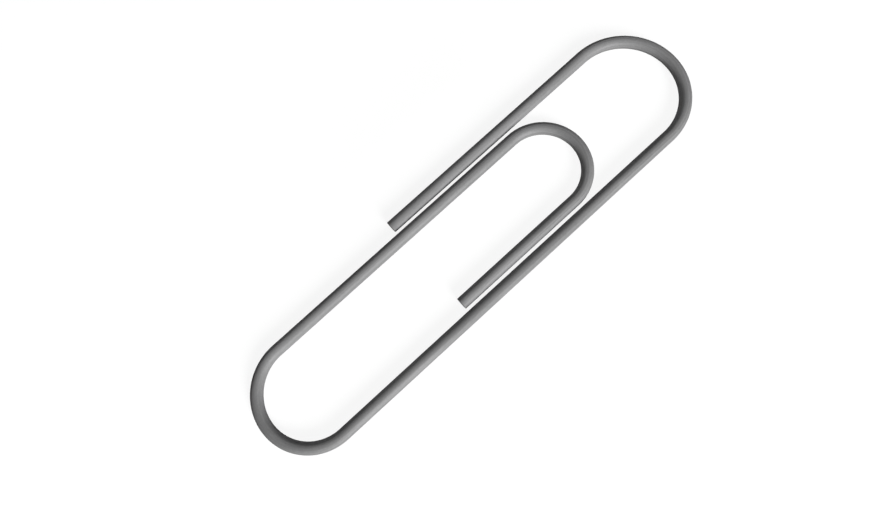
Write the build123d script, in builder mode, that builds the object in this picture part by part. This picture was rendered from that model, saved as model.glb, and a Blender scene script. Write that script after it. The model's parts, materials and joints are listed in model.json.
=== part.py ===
"""Flat paper clip, bent in one plane from a single length of round steel wire.

The clip lies on the XY plane with +Z up and its length along X. From one cut end to the other, the wire
runs up the outer free leg, round the outer bend, down the long leg, round the heel bend, up the inner leg,
round the inner bend and down the inner free leg. The inner leg, the inner bend and the inner free leg make
the tongue, which lies inside the rest.

Paper goes between the tongue and the rest, so the legs spring out of the clip's plane and the bends give by
twisting. Each bend is divided at its apex, where the wire runs straight across the clip. A leg that springs
turns its half of the bend about the wire's own centreline there, so the two round faces turn on each other
and stay in line.
"""

import os

from build123d import *

# Driving sizes, in millimetres
OVERALL_LENGTH = 50.0  # over the outsides of the heel bend and the outer bend
WIRE_DIAMETER = 1.15
LEG_GAP = 0.3  # clear gap between legs that lie side by side
INNER_BEND_RADIUS = 4.0  # to the wire's centreline
TONGUE_SETBACK = 11.7  # from the outside of the outer bend back to the outside of the inner bend
OUTER_FREE_LEG = 23.85  # straight run from the outer bend to its cut end
INNER_FREE_LEG = 13.6  # straight run from the inner bend to its cut end
CUT_EDGE_BREAK = 0.06  # sharp edge that tumbling takes off each cut end

# Nested bends: the legs that run into them lie side by side, one pitch apart
WIRE_RADIUS = WIRE_DIAMETER / 2
LEG_PITCH = WIRE_DIAMETER + LEG_GAP
HEEL_BEND_RADIUS = INNER_BEND_RADIUS + LEG_PITCH / 2
OUTER_BEND_RADIUS = HEEL_BEND_RADIUS + LEG_PITCH / 2

# Centres of the bends along the clip
HEEL_BEND_X = -OVERALL_LENGTH / 2 + WIRE_RADIUS + HEEL_BEND_RADIUS
OUTER_BEND_X = OVERALL_LENGTH / 2 - WIRE_RADIUS - OUTER_BEND_RADIUS
INNER_BEND_X = OVERALL_LENGTH / 2 - TONGUE_SETBACK - WIRE_RADIUS - INNER_BEND_RADIUS

# Centrelines of the legs across the clip, and the heel bend midway between the two legs that it joins
OUTER_FREE_LEG_Y = OUTER_BEND_RADIUS
LONG_LEG_Y = -OUTER_BEND_RADIUS
INNER_LEG_Y = INNER_BEND_RADIUS
INNER_FREE_LEG_Y = -INNER_BEND_RADIUS
HEEL_BEND_Y = (LONG_LEG_Y + INNER_LEG_Y) / 2

# Which way a half bend turns from its leg to the apex, seen from above
CLOCKWISE = -90
ANTICLOCKWISE = 90


def leg(label, start_x, end_x, y, cut=False):
    """Straight wire along X. A cut leg ends free at start_x, with its sharp edge broken."""
    with BuildPart() as wire:
        with BuildSketch(Plane.YZ.offset(start_x)):
            with Locations((y, WIRE_RADIUS)):
                Circle(WIRE_RADIUS)
        extrude(amount=end_x - start_x)
        if cut:
            cut_face = wire.faces().sort_by(Axis.X).first
            chamfer(cut_face.edges(), length=CUT_EDGE_BREAK)
    wire.part.label = label
    return wire.part


def half_bend(label, centre_x, centre_y, leg_y, turn):
    """Quarter ring of wire from the end of the leg at leg_y round to the apex of the bend."""
    with BuildPart() as bend:
        with BuildSketch(Plane.YZ.offset(centre_x)):
            with Locations((leg_y, WIRE_RADIUS)):
                Circle(WIRE_RADIUS)
        revolve(axis=Axis((centre_x, centre_y, 0), Axis.Z.direction), revolution_arc=turn)
    bend.part.label = label
    return bend.part


# Outer arm: the outer free leg and its half of the outer bend
outer_arm = [
    leg("outer_free_leg", OUTER_BEND_X - OUTER_FREE_LEG, OUTER_BEND_X, OUTER_FREE_LEG_Y, cut=True),
    half_bend("outer_bend_free_half", OUTER_BEND_X, 0, OUTER_FREE_LEG_Y, CLOCKWISE),
]

# Backbone: the long leg with its halves of the outer bend and the heel bend
backbone = [
    half_bend("outer_bend_long_half", OUTER_BEND_X, 0, LONG_LEG_Y, ANTICLOCKWISE),
    leg("long_leg", HEEL_BEND_X, OUTER_BEND_X, LONG_LEG_Y),
    half_bend("heel_bend_long_half", HEEL_BEND_X, HEEL_BEND_Y, LONG_LEG_Y, CLOCKWISE),
]

# Tongue: the inner leg with its halves of the heel bend and the inner bend
tongue = [
    half_bend("heel_bend_inner_half", HEEL_BEND_X, HEEL_BEND_Y, INNER_LEG_Y, ANTICLOCKWISE),
    leg("inner_leg", HEEL_BEND_X, INNER_BEND_X, INNER_LEG_Y),
    half_bend("inner_bend_leg_half", INNER_BEND_X, 0, INNER_LEG_Y, CLOCKWISE),
]

# Tongue tip: the inner free leg and its half of the inner bend
tongue_tip = [
    half_bend("inner_bend_tip_half", INNER_BEND_X, 0, INNER_FREE_LEG_Y, ANTICLOCKWISE),
    leg("inner_free_leg", INNER_BEND_X - INNER_FREE_LEG, INNER_BEND_X, INNER_FREE_LEG_Y, cut=True),
]

os.makedirs("parts", exist_ok=True)
for piece in outer_arm + backbone + tongue + tongue_tip:
    export_step(piece, f"parts/{piece.label}.step")
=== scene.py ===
"""Paper clip of plated steel wire on a pale studio floor, seen from the photograph's place.

Lengths are in metres. The wire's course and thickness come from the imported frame.
"""

import json
import math
from collections import namedtuple

import bmesh
import bpy
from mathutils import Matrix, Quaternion, Vector


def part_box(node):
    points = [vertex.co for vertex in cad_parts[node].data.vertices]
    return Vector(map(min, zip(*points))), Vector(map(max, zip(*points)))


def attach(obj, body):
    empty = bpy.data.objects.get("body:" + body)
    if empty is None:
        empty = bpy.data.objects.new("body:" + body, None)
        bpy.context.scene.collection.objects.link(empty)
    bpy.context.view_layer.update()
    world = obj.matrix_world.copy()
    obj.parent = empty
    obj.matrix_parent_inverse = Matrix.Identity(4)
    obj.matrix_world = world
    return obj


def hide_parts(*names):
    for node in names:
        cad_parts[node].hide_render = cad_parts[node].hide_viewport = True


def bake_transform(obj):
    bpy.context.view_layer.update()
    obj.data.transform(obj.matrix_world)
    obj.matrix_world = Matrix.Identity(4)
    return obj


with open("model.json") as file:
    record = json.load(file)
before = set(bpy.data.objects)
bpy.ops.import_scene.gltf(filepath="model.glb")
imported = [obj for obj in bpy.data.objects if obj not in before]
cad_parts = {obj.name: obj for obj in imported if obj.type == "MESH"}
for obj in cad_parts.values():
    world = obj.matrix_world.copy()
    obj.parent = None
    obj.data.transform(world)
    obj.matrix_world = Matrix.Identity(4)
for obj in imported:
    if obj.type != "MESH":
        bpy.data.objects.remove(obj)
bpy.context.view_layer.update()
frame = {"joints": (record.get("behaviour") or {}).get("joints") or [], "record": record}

MILLIMETRE = 0.001

# The wire from cut end to cut end: legs along X, each the opposite way to the last, and a bend
# between each two
LEGS = ["outer_free_leg", "long_leg", "inner_leg", "inner_free_leg"]
BENDS = ["outer_bend", "heel_bend", "inner_bend"]
BODIES = frame["record"]["behaviour"]["bodies"]
BODY_OF = {node: body for body, nodes in BODIES.items() for node in nodes}

# Each hinge is on the wire's centreline, a radius above the floor
WIRE_RADIUS = frame["joints"][0]["pos_m"][2]

# How finely the wire is meshed
SIDES = 64
BEND_STEPS = 90
LEG_STEP = 1.5 * MILLIMETRE

# A cut end has a rounded edge. On its face the cutter shears the upper part, and the rest tears off.
EDGE_ROUND = 0.06 * MILLIMETRE
EDGE_STEPS = 6
FACE_STEPS = 12
TEAR_DEPTH = 0.035 * MILLIMETRE
TEAR_TOP = 0.3 * WIRE_RADIUS  # over the wire's centreline
TEAR_SLOPE = 0.3 * WIRE_RADIUS  # height over which the torn part sinks to its depth

# What the materials read on the mesh
UNBENT = "unbent"  # where a point lies on the straight wire: along it, across it to the left, and up
BENT = "bent"  # 0 on a leg, and 1 at the apex of a bend

# The map that lays the wire's skin out flat, along U, with the wire's ends beside it
FLAT_MAP = "OFBake"
SKIN_SHARE = 0.9  # of V; the rest holds the ends
END_SHARE = 0.04  # radius of an end on the map

# Noise in the materials: features to a metre along the wire, across it and up, and detail in them
Noise = namedtuple("Noise", "along across up detail")
DIE_LINES = Noise(25, 5500, 5500, 3)
SCRATCHES = Noise(60, 12000, 12000, 1)
CLOUDS = Noise(120, 250, 250, 2)
GRAIN = Noise(7000, 7000, 7000, 2)
SCUFFS = Noise(500, 2400, 2400, 4)
CROSS_LINES = Noise(9000, 400, 400, 2)
DRAG_LINES = Noise(1000, 16000, 900, 3)
TORN_GRAIN = Noise(14000, 14000, 14000, 4)

# Noise values at which a mark begins and at which it is full
SCRATCH_RANGE = (0.62, 0.7)
SCUFF_RANGE = (0.58, 0.68)
RUB_RANGE = (0.4, 0.6)
WEAR_RANGE = (0.3, 0.6)

# Satin plating. Its tone goes from the dark to the light colour, and its gloss from rough to smooth.
CROWN_HEIGHT = 0.85 * WIRE_RADIUS  # from the centreline up or down, beyond which the wire is rubbed
WORN_LENGTH = 0.7 * MILLIMETRE  # from a cut end, where the plating is thin
PLATING_TONES = (0.36, 0.64)
PLATING_DARK = (0.288, 0.288, 0.29)
PLATING_LIGHT = (0.432, 0.432, 0.435)
PLATING_GLOSSES = (0.3, 0.7)
PLATING_ROUGH = 0.64
PLATING_SMOOTH = 0.4
PLATING_METAL = 0.07
PLATING_RELIEF = 0.01 * MILLIMETRE

# Bare steel of a cut end
STEEL_TONES = (0.1, 0.75)
STEEL_DARK = (0.25, 0.248, 0.245)
STEEL_LIGHT = (0.48, 0.478, 0.475)
SHEARED_ROUGHNESS = 0.35
TORN_ROUGHNESS = 0.6
STEEL_METAL = 0.3
STEEL_RELIEF = 0.006 * MILLIMETRE

# The camera and frame of the photograph. The aim is a point in the plane of the wire.
IMAGE_WIDTH = 883
IMAGE_HEIGHT = 505
VERTICAL_VIEW = math.radians(45)
CAMERA_AIM = Vector((-3.083 * MILLIMETRE, 0.595 * MILLIMETRE, WIRE_RADIUS))
CAMERA_DISTANCE = 54.342 * MILLIMETRE
CAMERA_AZIMUTH = math.radians(-19.315)
CAMERA_ELEVATION = math.radians(77.017)
CAMERA_ROLL = math.radians(-23.232)
CAMERA_NEAR = 1 * MILLIMETRE

# Studio light. At a level of 1 it makes a white surface that faces it white.
Lamp = namedtuple("Lamp", "name azimuth elevation width level")
KEY_LAMP = Lamp(
    "key_lamp", azimuth=math.radians(-4), elevation=math.radians(27.5), width=0.4, level=0.96
)
FILL_LAMP = Lamp(
    "fill_lamp", azimuth=math.radians(176), elevation=math.radians(8), width=0.2, level=0.05
)
LAMP_DISTANCE = 0.9
SKY_LEVEL = 0.015

# Studio floor: a thin milky sheet under the clip, over a pale ground. Legs that spring down show
# through the sheet.
SHEET_MILKINESS = 0.3
SHEET_GREY = 0.8
SHEET_GLOW = 0.6  # makes the sheet white where no shadow falls on it
SHEET_RADIUS = 0.12
GROUND_GREY = 0.15
GROUND_GLOW = 1
GROUND_RADIUS = 2
GROUND_DROP = 8 * MILLIMETRE
STAGE_SIDES = 96

# One cross-section of the wire. Its cut is 0 on the wire's skin. On a cut face it is the way along
# the wire that the face looks, -1 or 1.
Ring = namedtuple("Ring", "centre heading along radius bent cut")


def bearing(heading):
    """Unit vector in the plane of the clip."""
    return Vector((math.cos(heading), math.sin(heading), 0))


def towards(azimuth, elevation):
    """Unit vector from the clip to a camera or lamp.

    Azimuth 0 is on the -Y side, and 90 degrees on the +X side.
    """
    level = math.cos(elevation)
    return Vector((level * math.sin(azimuth), -level * math.cos(azimuth), math.sin(elevation)))


def leg_line(number):
    """Start and end of a leg on the wire's centreline."""
    low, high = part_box(LEGS[number])
    ends = [Vector((x, (low.y + high.y) / 2, WIRE_RADIUS)) for x in (low.x, high.x)]
    return ends if number % 2 == 0 else ends[::-1]


def leg_length(number):
    start, end = leg_line(number)
    return (end - start).length


def bend_radius(number):
    """Half the distance between the two legs that a bend joins."""
    return (leg_line(number + 1)[0] - leg_line(number)[1]).length / 2


# Along the centreline, from cut end to cut end
WIRE_LENGTH = sum(leg_length(number) for number in range(len(LEGS)))
WIRE_LENGTH += sum(math.pi * bend_radius(number) for number in range(len(BENDS)))


def tear(height):
    """How far a cut face lies behind its sheared part, at a height over the centreline."""
    share = min(max((TEAR_TOP - height) / TEAR_SLOPE, 0), 1)
    return TEAR_DEPTH * share * share * (3 - 2 * share)


def leg_rings(start, heading, length, along):
    """Rings down a straight leg."""
    steps = math.ceil(length / LEG_STEP)
    rings = []
    for step in range(steps + 1):
        run = length * step / steps
        rings.append(Ring(start + bearing(heading) * run, heading, along + run, WIRE_RADIUS, 0, 0))
    return rings


def bend_rings(start, heading, radius, along):
    """Rings round a half turn, clockwise from above."""
    centre = start + bearing(heading - math.pi / 2) * radius
    rings = []
    for step in range(BEND_STEPS + 1):
        turn = math.pi * step / BEND_STEPS
        place = centre + bearing(heading + math.pi / 2 - turn) * radius
        rings.append(Ring(place, heading - turn, along + radius * turn, WIRE_RADIUS, math.sin(turn), 0))
    return rings


def cut_rings(tip, heading, along, cut):
    """Rings over the rounded edge of a cut end and in to the middle of its face."""
    rings = []
    for step in range(EDGE_STEPS + 1):
        turn = math.pi / 2 * step / EDGE_STEPS
        setback = cut * EDGE_ROUND * (1 - math.sin(turn))
        radius = WIRE_RADIUS - EDGE_ROUND * (1 - math.cos(turn))
        rings.append(Ring(tip - bearing(heading) * setback, heading, along - setback, radius, 0, 0))
    for step in range(1, FACE_STEPS):
        radius = (WIRE_RADIUS - EDGE_ROUND) * (1 - step / FACE_STEPS)
        rings.append(Ring(tip, heading, along, radius, 0, cut))
    return rings


def tube(name, rings, *materials):
    """A closed piece of wire through rings from its start to its end.

    The first material is for its skin, and a second one for its cut face.
    """
    mesh = bmesh.new()
    unbent = mesh.verts.layers.float_vector.new(UNBENT)
    bent = mesh.verts.layers.float.new(BENT)
    flat = mesh.loops.layers.uv.new(FLAT_MAP)
    length = rings[-1].along - rings[0].along

    def across_and_up(ring, side):
        turn = 2 * math.pi * side / SIDES
        return ring.radius * math.cos(turn), ring.radius * math.sin(turn)

    def point(ring, side):
        across, up = across_and_up(ring, side)
        sunk = ring.cut * tear(up)
        place = ring.centre + bearing(ring.heading + math.pi / 2) * across - bearing(ring.heading) * sunk
        vertex = mesh.verts.new(place + Vector((0, 0, up)))
        vertex[unbent] = (ring.along, across, up)
        vertex[bent] = ring.bent
        return vertex

    def on_skin(ring, side):
        return (ring.along - rings[0].along) / length, SKIN_SHARE * side / SIDES

    def on_end(ring, side):
        across, up = across_and_up(ring, side)
        middle = END_SHARE if ring.along - rings[0].along < length / 2 else 1 - END_SHARE
        scale = END_SHARE / WIRE_RADIUS
        return middle + across * scale, (1 + SKIN_SHARE) / 2 + up * scale

    def face(corners, place_flat, material):
        made = mesh.faces.new([rows[row][side % SIDES] for row, side in corners])
        made.smooth = True
        made.material_index = material
        for loop, (row, side) in zip(made.loops, corners):
            loop[flat].uv = place_flat(rings[row], side)
        return made

    rows = [[point(ring, side) for side in range(SIDES)] for ring in rings]
    for row in range(len(rings) - 1):
        is_cut = rings[row].cut or rings[row + 1].cut
        for side in range(SIDES):
            corners = [(row, side), (row, side + 1), (row + 1, side + 1), (row + 1, side)]
            face(corners, on_end if is_cut else on_skin, 1 if is_cut else 0)

    # A flat face closes each end. Where the next piece of wire begins, its rim is sharp.
    last = len(rings) - 1
    for row, sides in ((0, range(SIDES)[::-1]), (last, range(SIDES))):
        end = face([(row, side) for side in sides], on_end, 1 if rings[row].cut else 0)
        for edge in end.edges:
            edge.smooth = rings[row].cut != 0

    data = bpy.data.meshes.new(name)
    mesh.to_mesh(data)
    mesh.free()
    for material in materials:
        data.materials.append(material)
    piece = bpy.data.objects.new(name, data)
    bpy.context.scene.collection.objects.link(piece)
    return piece


def add_leg(number, along, plating, steel):
    """One leg, with its cut end if it is the first or the last."""
    node = LEGS[number]
    start, end = leg_line(number)
    heading = -math.pi * number
    length = leg_length(number)
    rings = leg_rings(start, heading, length, along)
    materials = [plating]
    if number == 0:
        rings = cut_rings(start, heading, along, -1)[::-1] + rings[1:]
        materials.append(steel)
    if number == len(LEGS) - 1:
        rings = rings[:-1] + cut_rings(end, heading, along + length, 1)
        materials.append(steel)
    piece = tube(node + "_wire", rings, *materials)
    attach(piece, BODY_OF[node])
    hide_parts(node)


def add_bend(number, along, plating):
    """The bend after a leg, a half turn of wire to the next leg."""
    start = leg_line(number)[1]
    rings = bend_rings(start, -math.pi * number, bend_radius(number), along)
    piece = tube(BENDS[number] + "_wire", rings, plating)
    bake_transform(piece)
    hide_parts(*[node for node in BODY_OF if node.startswith(BENDS[number])])


def add_wire(plating, steel):
    """The whole wire, piece after piece."""
    along = 0
    for number in range(len(LEGS)):
        add_leg(number, along, plating, steel)
        along += leg_length(number)
        if number < len(BENDS):
            add_bend(number, along, plating)
            along += math.pi * bend_radius(number)


class Graph:
    """The nodes of a material or of the world."""

    def __init__(self, owner):
        self.owner = owner
        owner.use_nodes = True
        self.tree = owner.node_tree

    def put(self, node, inputs):
        """Sets a node's inputs to values, or joins them to other nodes' outputs."""
        for name, value in inputs.items():
            if isinstance(value, bpy.types.NodeSocket):
                self.tree.links.new(value, node.inputs[name])
            else:
                node.inputs[name].default_value = value

    def shade(self, inputs):
        self.put(self.tree.nodes["Principled BSDF"], inputs)

    def add(self, kind, inputs, **settings):
        """A node with its inputs and settings. Returns its first output."""
        node = self.tree.nodes.new("ShaderNode" + kind)
        for name, value in settings.items():
            setattr(node, name, value)
        self.put(node, inputs)
        return node.outputs[0]

    def attribute(self, name, output):
        return self.add("Attribute", {}, attribute_name=name).node.outputs[output]

    def noise(self, place, kind):
        """Noise from 0 to 1 at places on the straight wire."""
        per_metre = (kind.along, kind.across, kind.up)
        scaled = self.add("Mapping", {"Vector": place, "Scale": per_metre})
        return self.add("TexNoise", {"Vector": scaled, "Scale": 1, "Detail": kind.detail})

    def spread(self, value, low, high, out_low=0, out_high=1):
        """A value carried from one range to another and held there."""
        ranges = {"From Min": low, "From Max": high, "To Min": out_low, "To Max": out_high}
        return self.add("MapRange", {"Value": value, **ranges})

    def math(self, operation, *values):
        return self.add("Math", dict(enumerate(values)), operation=operation)

    def total(self, *shares):
        """Sum of (value, weight) pairs."""
        result = 0
        for value, weight in shares:
            result = self.math("MULTIPLY_ADD", value, weight, result)
        return result

    def colours(self, value, low, high):
        """A colour between two, by a value from 0 to 1."""
        output = self.add("ValToRGB", {"Fac": value})
        ends = output.node.color_ramp.elements
        ends[0].color = (*low, 1)
        ends[1].color = (*high, 1)
        return output

    def bump(self, height, depth):
        return self.add("Bump", {"Height": height, "Strength": 1, "Distance": depth})

    def seen(self):
        """1 to the camera, in reflections and through clear things, and 0 to what is lit."""
        rays = self.add("LightPath", {}).node.outputs
        shown = self.math("MAXIMUM", rays["Is Camera Ray"], rays["Is Glossy Ray"])
        return self.math("MAXIMUM", shown, rays["Is Transmission Ray"])


def satin_plating():
    """Satin plating on drawn steel wire, with marks of drawing, bending and use."""
    graph = Graph(bpy.data.materials.new("satin_plating"))
    place = graph.attribute(UNBENT, "Vector")
    along, across, up = graph.add("SeparateXYZ", {"Vector": place}).node.outputs
    bent = graph.attribute(BENT, "Fac")

    # The die leaves long lines and scratches, the bath a cloudy plating with a fine grain, and
    # handling scuffs
    lines = graph.noise(place, DIE_LINES)
    scratches = graph.spread(graph.noise(place, SCRATCHES), *SCRATCH_RANGE)
    clouds = graph.noise(place, CLOUDS)
    grain = graph.noise(place, GRAIN)
    scuffs = graph.spread(graph.noise(place, SCUFFS), *SCUFF_RANGE)

    # Bending stretches the skin outside a bend into fine cross lines, and the mandrel polishes
    # the inside
    stretched = graph.math("MULTIPLY", graph.spread(across, 0, WIRE_RADIUS), bent)
    polished = graph.math("MULTIPLY", graph.spread(across, 0, -WIRE_RADIUS), bent)
    cross_lines = graph.math("MULTIPLY", graph.noise(place, CROSS_LINES), stretched)

    # Paper and desk rub the wire's crowns, and the plating is thin by the cut ends
    crown = graph.spread(graph.math("ABSOLUTE", up), CROWN_HEIGHT, WIRE_RADIUS)
    rubbed = graph.math("MULTIPLY", crown, graph.spread(clouds, *RUB_RANGE))
    from_end = graph.math("MINIMUM", along, graph.math("SUBTRACT", WIRE_LENGTH, along))
    thin = graph.spread(from_end, WORN_LENGTH, 0)
    worn = graph.math("MULTIPLY", thin, graph.spread(grain, *WEAR_RANGE))

    plain = graph.total((lines, 0.5), (clouds, 0.25), (grain, 0.25))
    tone = graph.total(
        (plain, 1), (scratches, 0.12), (scuffs, 0.08), (rubbed, 0.04), (cross_lines, -0.1), (worn, -0.2)
    )
    gloss = graph.total((plain, 1), (rubbed, 0.1), (polished, 0.12), (stretched, -0.1), (scuffs, -0.2))
    height = graph.total((lines, 1), (grain, 0.3), (cross_lines, 0.4), (scratches, -0.3), (scuffs, -0.1))
    graph.shade({
        "Base Color": graph.colours(graph.spread(tone, *PLATING_TONES), PLATING_DARK, PLATING_LIGHT),
        "Roughness": graph.spread(gloss, *PLATING_GLOSSES, PLATING_ROUGH, PLATING_SMOOTH),
        "Normal": graph.bump(height, PLATING_RELIEF),
        "Metallic": PLATING_METAL,
        "Specular IOR Level": 0,
    })
    return graph.owner


def cut_steel():
    """Bare steel of a cut end: drag lines down the sheared part, and a coarse grain on the torn part."""
    graph = Graph(bpy.data.materials.new("cut_steel"))
    place = graph.attribute(UNBENT, "Vector")
    up = graph.add("SeparateXYZ", {"Vector": place}).node.outputs["Z"]
    torn = graph.spread(up, TEAR_TOP, TEAR_TOP - TEAR_SLOPE)
    drag = graph.noise(place, DRAG_LINES)
    grain = graph.math("MULTIPLY", graph.noise(place, TORN_GRAIN), torn)

    tone = graph.total((drag, 1), (torn, -0.25))
    height = graph.total((drag, 1), (grain, 1))
    graph.shade({
        "Base Color": graph.colours(graph.spread(tone, *STEEL_TONES), STEEL_DARK, STEEL_LIGHT),
        "Roughness": graph.spread(torn, 0, 1, SHEARED_ROUGHNESS, TORN_ROUGHNESS),
        "Normal": graph.bump(height, STEEL_RELIEF),
        "Metallic": STEEL_METAL,
        "Specular IOR Level": 0,
    })
    return graph.owner


def pale_surface(name, grey, glow):
    """A matt grey that glows as well, but only where it is seen, and not on what it lights."""
    graph = Graph(bpy.data.materials.new(name))
    graph.shade({
        "Base Color": (grey, grey, grey, 1),
        "Specular IOR Level": 0,
        "Emission Color": (1, 1, 1, 1),
        "Emission Strength": graph.math("MULTIPLY", graph.seen(), glow),
    })
    return graph


def milky_sheet():
    """Clear sheet with enough white in it to take the clip's shadow."""
    graph = pale_surface("milky_sheet", SHEET_GREY, SHEET_GLOW)
    clear = graph.add("BsdfTransparent", {})
    milk = graph.tree.nodes["Principled BSDF"].outputs["BSDF"]
    sheet = graph.add("MixShader", {"Fac": SHEET_MILKINESS, 1: clear, 2: milk})
    graph.put(graph.tree.nodes["Material Output"], {"Surface": sheet})
    return graph


def add_stage(name, radius, height, graph):
    """A flat round piece of the stage."""
    mesh = bmesh.new()
    bmesh.ops.create_circle(mesh, cap_ends=True, segments=STAGE_SIDES, radius=radius)
    data = bpy.data.meshes.new(name)
    mesh.to_mesh(data)
    mesh.free()
    data.materials.append(graph.owner)
    piece = bpy.data.objects.new(name, data)
    piece.location.z = height
    bpy.context.scene.collection.objects.link(piece)


def add_floor():
    """The sheet that the clip lies on, and the ground under it."""
    add_stage("floor_sheet", SHEET_RADIUS, 0, milky_sheet())
    ground = pale_surface("pale_ground", GROUND_GREY, GROUND_GLOW)
    add_stage("ground", GROUND_RADIUS, -GROUND_DROP, ground)


def add_lamp(lamp):
    """A soft round lamp that looks at the clip."""
    data = bpy.data.lights.new(lamp.name, "AREA")
    data.shape = "DISK"
    data.size = lamp.width
    data.energy = lamp.level * (math.pi * LAMP_DISTANCE) ** 2
    way = towards(lamp.azimuth, lamp.elevation)
    holder = bpy.data.objects.new(lamp.name, data)
    holder.location = way * LAMP_DISTANCE
    holder.rotation_euler = way.to_track_quat("Z", "Y").to_euler()
    holder.visible_camera = False
    bpy.context.scene.collection.objects.link(holder)


def add_lights():
    """A lamp on the long leg's side, a weak low one opposite, and a sky.

    The sky looks white and gives little light.
    """
    add_lamp(KEY_LAMP)
    add_lamp(FILL_LAMP)
    sky = Graph(bpy.data.worlds.new("sky"))
    strength = sky.spread(sky.seen(), 0, 1, SKY_LEVEL, 1)
    sky.put(sky.tree.nodes["Background"], {"Color": (1, 1, 1, 1), "Strength": strength})
    bpy.context.scene.world = sky.owner


def add_camera():
    """The photograph's camera."""
    data = bpy.data.cameras.new("camera")
    data.lens = data.sensor_width * IMAGE_HEIGHT / IMAGE_WIDTH / (2 * math.tan(VERTICAL_VIEW / 2))
    data.clip_start = CAMERA_NEAR
    back = towards(CAMERA_AZIMUTH, CAMERA_ELEVATION)
    camera = bpy.data.objects.new("camera", data)
    camera.location = CAMERA_AIM + back * CAMERA_DISTANCE
    camera.rotation_mode = "QUATERNION"
    camera.rotation_quaternion = (-back).to_track_quat("-Z", "Y") @ Quaternion((0, 0, 1), CAMERA_ROLL)
    bpy.context.scene.collection.objects.link(camera)
    bpy.context.scene.camera = camera


add_wire(satin_plating(), cut_steel())
add_floor()
add_lights()
add_camera()
bpy.context.scene.view_settings.view_transform = "Standard"
